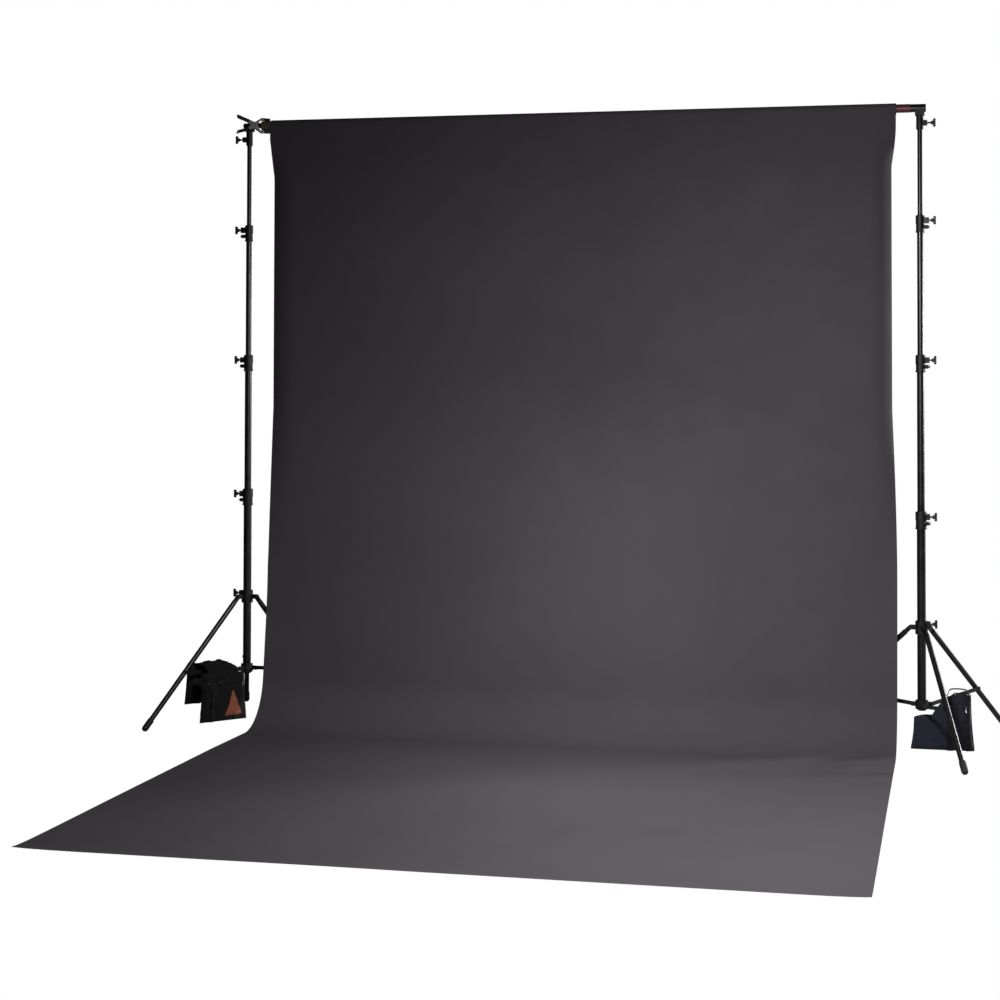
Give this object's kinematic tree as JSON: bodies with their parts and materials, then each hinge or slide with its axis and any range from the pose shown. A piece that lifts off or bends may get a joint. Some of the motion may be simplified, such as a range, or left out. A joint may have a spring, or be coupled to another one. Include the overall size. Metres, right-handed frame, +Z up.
{
  "type": "backdrop paper roll",
  "caption": "Wide roll of background paper on a telescopic crossbar between two folding stands, pulled down and swept over the floor.",
  "frame": {"origin": "on the floor, at the middle of the footprint", "axes": "+X along the crossbar to the right seen from the front, +Y behind the hanging paper, +Z up"},
  "size_m": [3.5939, 2.9397, 2.65],
  "materials": {
    "stand_tube": "satin black enamel",
    "stand_casting": "black powder coat",
    "brace_steel": "satin black enamel",
    "knob_plastic": "moulded",
    "bar_tube": "satin black enamel",
    "bar_sleeve": "plain sleeve",
    "paper": "matt dyed paper",
    "core_board": "spiral wound board",
    "clamp_metal": "grey plated steel",
    "bright_steel": "plated",
    "bag_black": "woven nylon",
    "bag_webbing": "webbing",
    "bag_navy": "woven nylon"
  },
  "bodies": {
    "base": {"paper_sheet": "paper", "sandbag_left_front": "bag_black", "sandbag_left_rear": "bag_black", "sandbag_left_saddle": "bag_black", "sandbag_right": "bag_navy", "left_base_tube": "stand_tube", "left_collar_1": "stand_casting", "left_leg_hub": "stand_casting", "right_base_tube": "stand_tube", "right_collar_1": "stand_casting", "right_leg_hub": "stand_casting"},
    "stage_2": {"left_tube_2": "stand_tube", "left_collar_2": "stand_casting", "right_tube_2": "stand_tube", "right_collar_2": "stand_casting"},
    "stage_3": {"left_tube_3": "stand_tube", "left_collar_3": "stand_casting", "right_tube_3": "stand_tube", "right_collar_3": "stand_casting"},
    "stage_4": {"left_tube_4": "stand_tube", "left_head": "stand_casting", "right_tube_4": "stand_tube", "right_head": "stand_casting", "crossbar_tube_1": "bar_tube", "crossbar_tube_2": "bar_tube", "crossbar_tube_3": "bar_tube", "crossbar_tube_4": "bar_tube", "crossbar_plug_left": "knob_plastic", "crossbar_plug_right": "knob_plastic", "crossbar_sleeve": "bar_sleeve", "clamp_lower_arm": "clamp_metal", "clamp_pin": "bright_steel", "clamp_spring": "bright_steel"},
    "roll": {"paper_core": "core_board", "paper_wound": "paper"},
    "clamp_jaw": {"clamp_upper_arm": "clamp_metal"},
    "left_yoke": {"left_leg_yoke": "stand_casting"},
    "left_knob_1_turn": {"left_knob_1": "knob_plastic"},
    "left_knob_2_turn": {"left_knob_2": "knob_plastic"},
    "left_knob_3_turn": {"left_knob_3": "knob_plastic"},
    "left_knob_head_turn": {"left_knob_head": "knob_plastic"},
    "left_knob_yoke_turn": {"left_knob_yoke": "knob_plastic"},
    "left_leg_1_body": {"left_leg_1": "stand_tube"},
    "left_brace_1_body": {"left_brace_1": "brace_steel"},
    "left_leg_2_body": {"left_leg_2": "stand_tube"},
    "left_brace_2_body": {"left_brace_2": "brace_steel"},
    "left_leg_3_body": {"left_leg_3": "stand_tube"},
    "left_brace_3_body": {"left_brace_3": "brace_steel"},
    "right_yoke": {"right_leg_yoke": "stand_casting"},
    "right_knob_1_turn": {"right_knob_1": "knob_plastic"},
    "right_knob_2_turn": {"right_knob_2": "knob_plastic"},
    "right_knob_3_turn": {"right_knob_3": "knob_plastic"},
    "right_knob_head_turn": {"right_knob_head": "knob_plastic"},
    "right_knob_yoke_turn": {"right_knob_yoke": "knob_plastic"},
    "right_leg_1_body": {"right_leg_1": "stand_tube"},
    "right_brace_1_body": {"right_brace_1": "brace_steel"},
    "right_leg_2_body": {"right_leg_2": "stand_tube"},
    "right_brace_2_body": {"right_brace_2": "brace_steel"},
    "right_leg_3_body": {"right_leg_3": "stand_tube"},
    "right_brace_3_body": {"right_brace_3": "brace_steel"}
  },
  "joints": [
    {"name": "stage_2_slide", "type": "slide", "parent": "base", "child": "stage_2", "axis": [0, 0, 1], "range_m": [-0.51, 0]},
    {"name": "stage_3_slide", "type": "slide", "parent": "stage_2", "child": "stage_3", "axis": [0, 0, 1], "range_m": [-0.495, 0]},
    {"name": "stage_4_slide", "type": "slide", "parent": "stage_3", "child": "stage_4", "axis": [0, 0, 1], "range_m": [-0.345, 0]},
    {"name": "roll_spin", "type": "hinge", "parent": "stage_4", "child": "roll", "pos_m": [0, 0.994, 2.608], "axis": [1, 0, 0], "continuous": true},
    {"name": "clamp_hinge", "type": "hinge", "parent": "stage_4", "child": "clamp_jaw", "pos_m": [-1.42836, 0.95586, 2.608], "axis": [0.6691, -0.7431, 0], "range_deg": [0, 30], "stiffness_Nm_per_rad": 3, "springref_deg": -22.92},
    {"name": "left_yoke_slide", "type": "slide", "parent": "base", "child": "left_yoke", "axis": [0, 0, 1], "range_m": [0, 0.34], "deforming": ["sandbag_left_saddle"]},
    {"name": "left_knob_1_turn", "type": "hinge", "parent": "base", "child": "left_knob_1_turn", "pos_m": [-1.466, 0.994, 0.989], "axis": [-1, 0, 0], "range_deg": [0, 360]},
    {"name": "left_knob_2_turn", "type": "hinge", "parent": "stage_2", "child": "left_knob_2_turn", "pos_m": [-1.466, 0.994, 1.577], "axis": [-1, 0, 0], "range_deg": [0, 360]},
    {"name": "left_knob_3_turn", "type": "hinge", "parent": "stage_3", "child": "left_knob_3_turn", "pos_m": [-1.466, 0.994, 2.149], "axis": [-1, 0, 0], "range_deg": [0, 360]},
    {"name": "left_knob_head_turn", "type": "hinge", "parent": "stage_4", "child": "left_knob_head_turn", "pos_m": [-1.466, 0.994, 2.5492], "axis": [-1, 0, 0], "range_deg": [0, 360]},
    {"name": "left_knob_yoke_turn", "type": "hinge", "parent": "left_yoke", "child": "left_knob_yoke_turn", "pos_m": [-1.466, 0.994, 0.554], "axis": [-1, 0, 0], "range_deg": [0, 360]},
    {"name": "left_leg_1_hinge", "type": "hinge", "parent": "left_yoke", "child": "left_leg_1_body", "pos_m": [-1.49493, 0.95953, 0.54], "axis": [0.766, -0.6428, 0], "range_deg": [0, 31.18]},
    {"name": "left_brace_1_hinge", "type": "hinge", "parent": "base", "child": "left_brace_1_body", "pos_m": [-1.49171, 0.96336, 0.228], "axis": [-0.766, 0.6428, 0], "range_deg": [0, 73.45]},
    {"name": "left_leg_2_hinge", "type": "hinge", "parent": "left_yoke", "child": "left_leg_2_body", "pos_m": [-1.42168, 0.98619, 0.54], "axis": [0.1736, 0.9848, 0], "range_deg": [0, 31.18]},
    {"name": "left_brace_2_hinge", "type": "hinge", "parent": "base", "child": "left_brace_2_body", "pos_m": [-1.42661, 0.98705, 0.228], "axis": [-0.1736, -0.9848, 0], "range_deg": [0, 73.45]},
    {"name": "left_leg_3_hinge", "type": "hinge", "parent": "left_yoke", "child": "left_leg_3_body", "pos_m": [-1.48139, 1.03629, 0.54], "axis": [-0.9397, -0.342, 0], "range_deg": [0, 31.18]},
    {"name": "left_brace_3_hinge", "type": "hinge", "parent": "base", "child": "left_brace_3_body", "pos_m": [-1.47968, 1.03159, 0.228], "axis": [0.9397, 0.342, 0], "range_deg": [0, 73.45]},
    {"name": "right_yoke_slide", "type": "slide", "parent": "base", "child": "right_yoke", "axis": [0, 0, 1], "range_m": [0, 0.34]},
    {"name": "right_knob_1_turn", "type": "hinge", "parent": "base", "child": "right_knob_1_turn", "pos_m": [1.433, 0.994, 0.938], "axis": [1, 0, 0], "range_deg": [0, 360]},
    {"name": "right_knob_2_turn", "type": "hinge", "parent": "stage_2", "child": "right_knob_2_turn", "pos_m": [1.433, 0.994, 1.577], "axis": [1, 0, 0], "range_deg": [0, 360]},
    {"name": "right_knob_3_turn", "type": "hinge", "parent": "stage_3", "child": "right_knob_3_turn", "pos_m": [1.433, 0.994, 2.149], "axis": [1, 0, 0], "range_deg": [0, 360]},
    {"name": "right_knob_head_turn", "type": "hinge", "parent": "stage_4", "child": "right_knob_head_turn", "pos_m": [1.433, 0.994, 2.5492], "axis": [1, 0, 0], "range_deg": [0, 360]},
    {"name": "right_knob_yoke_turn", "type": "hinge", "parent": "right_yoke", "child": "right_knob_yoke_turn", "pos_m": [1.433, 0.994, 0.503], "axis": [1, 0, 0], "range_deg": [0, 360]},
    {"name": "right_leg_1_hinge", "type": "hinge", "parent": "right_yoke", "child": "right_leg_1_body", "pos_m": [1.44691, 0.9512, 0.489], "axis": [0.9511, 0.309, 0], "range_deg": [0, 28.8]},
    {"name": "right_brace_1_hinge", "type": "hinge", "parent": "base", "child": "right_brace_1_body", "pos_m": [1.44536, 0.95596, 0.177], "axis": [-0.9511, -0.309, 0], "range_deg": [0, 57.83]},
    {"name": "right_leg_2_hinge", "type": "hinge", "parent": "right_yoke", "child": "right_leg_2_body", "pos_m": [1.46192, 1.02847, 0.489], "axis": [-0.766, 0.6428, 0], "range_deg": [0, 28.8]},
    {"name": "right_brace_2_hinge", "type": "hinge", "parent": "base", "child": "right_brace_2_body", "pos_m": [1.45871, 1.02464, 0.177], "axis": [0.766, -0.6428, 0], "range_deg": [0, 57.83]},
    {"name": "right_leg_3_hinge", "type": "hinge", "parent": "right_yoke", "child": "right_leg_3_body", "pos_m": [1.38868, 1.00181, 0.489], "axis": [-0.1736, -0.9848, 0], "range_deg": [0, 28.8]},
    {"name": "right_brace_3_hinge", "type": "hinge", "parent": "base", "child": "right_brace_3_body", "pos_m": [1.39361, 1.00095, 0.177], "axis": [0.1736, 0.9848, 0], "range_deg": [0, 57.83]}
  ],
  "couplings": [
    {"joint": "stage_3_slide", "follows": "stage_2_slide", "ratio": 0.97058},
    {"joint": "stage_4_slide", "follows": "stage_2_slide", "ratio": 0.67646},
    {"joint": "left_leg_1_hinge", "follows": "left_yoke_slide", "rad_per_m": 1.5979},
    {"joint": "left_brace_1_hinge", "follows": "left_yoke_slide", "rad_per_m": 3.7679},
    {"joint": "left_leg_2_hinge", "follows": "left_yoke_slide", "rad_per_m": 1.5979},
    {"joint": "left_brace_2_hinge", "follows": "left_yoke_slide", "rad_per_m": 3.7679},
    {"joint": "left_leg_3_hinge", "follows": "left_yoke_slide", "rad_per_m": 1.5979},
    {"joint": "left_brace_3_hinge", "follows": "left_yoke_slide", "rad_per_m": 3.7679},
    {"joint": "right_leg_1_hinge", "follows": "right_yoke_slide", "rad_per_m": 1.4758},
    {"joint": "right_brace_1_hinge", "follows": "right_yoke_slide", "rad_per_m": 2.9658},
    {"joint": "right_leg_2_hinge", "follows": "right_yoke_slide", "rad_per_m": 1.4758},
    {"joint": "right_brace_2_hinge", "follows": "right_yoke_slide", "rad_per_m": 2.9658},
    {"joint": "right_leg_3_hinge", "follows": "right_yoke_slide", "rad_per_m": 1.4758},
    {"joint": "right_brace_3_hinge", "follows": "right_yoke_slide", "rad_per_m": 2.9658}
  ]
}
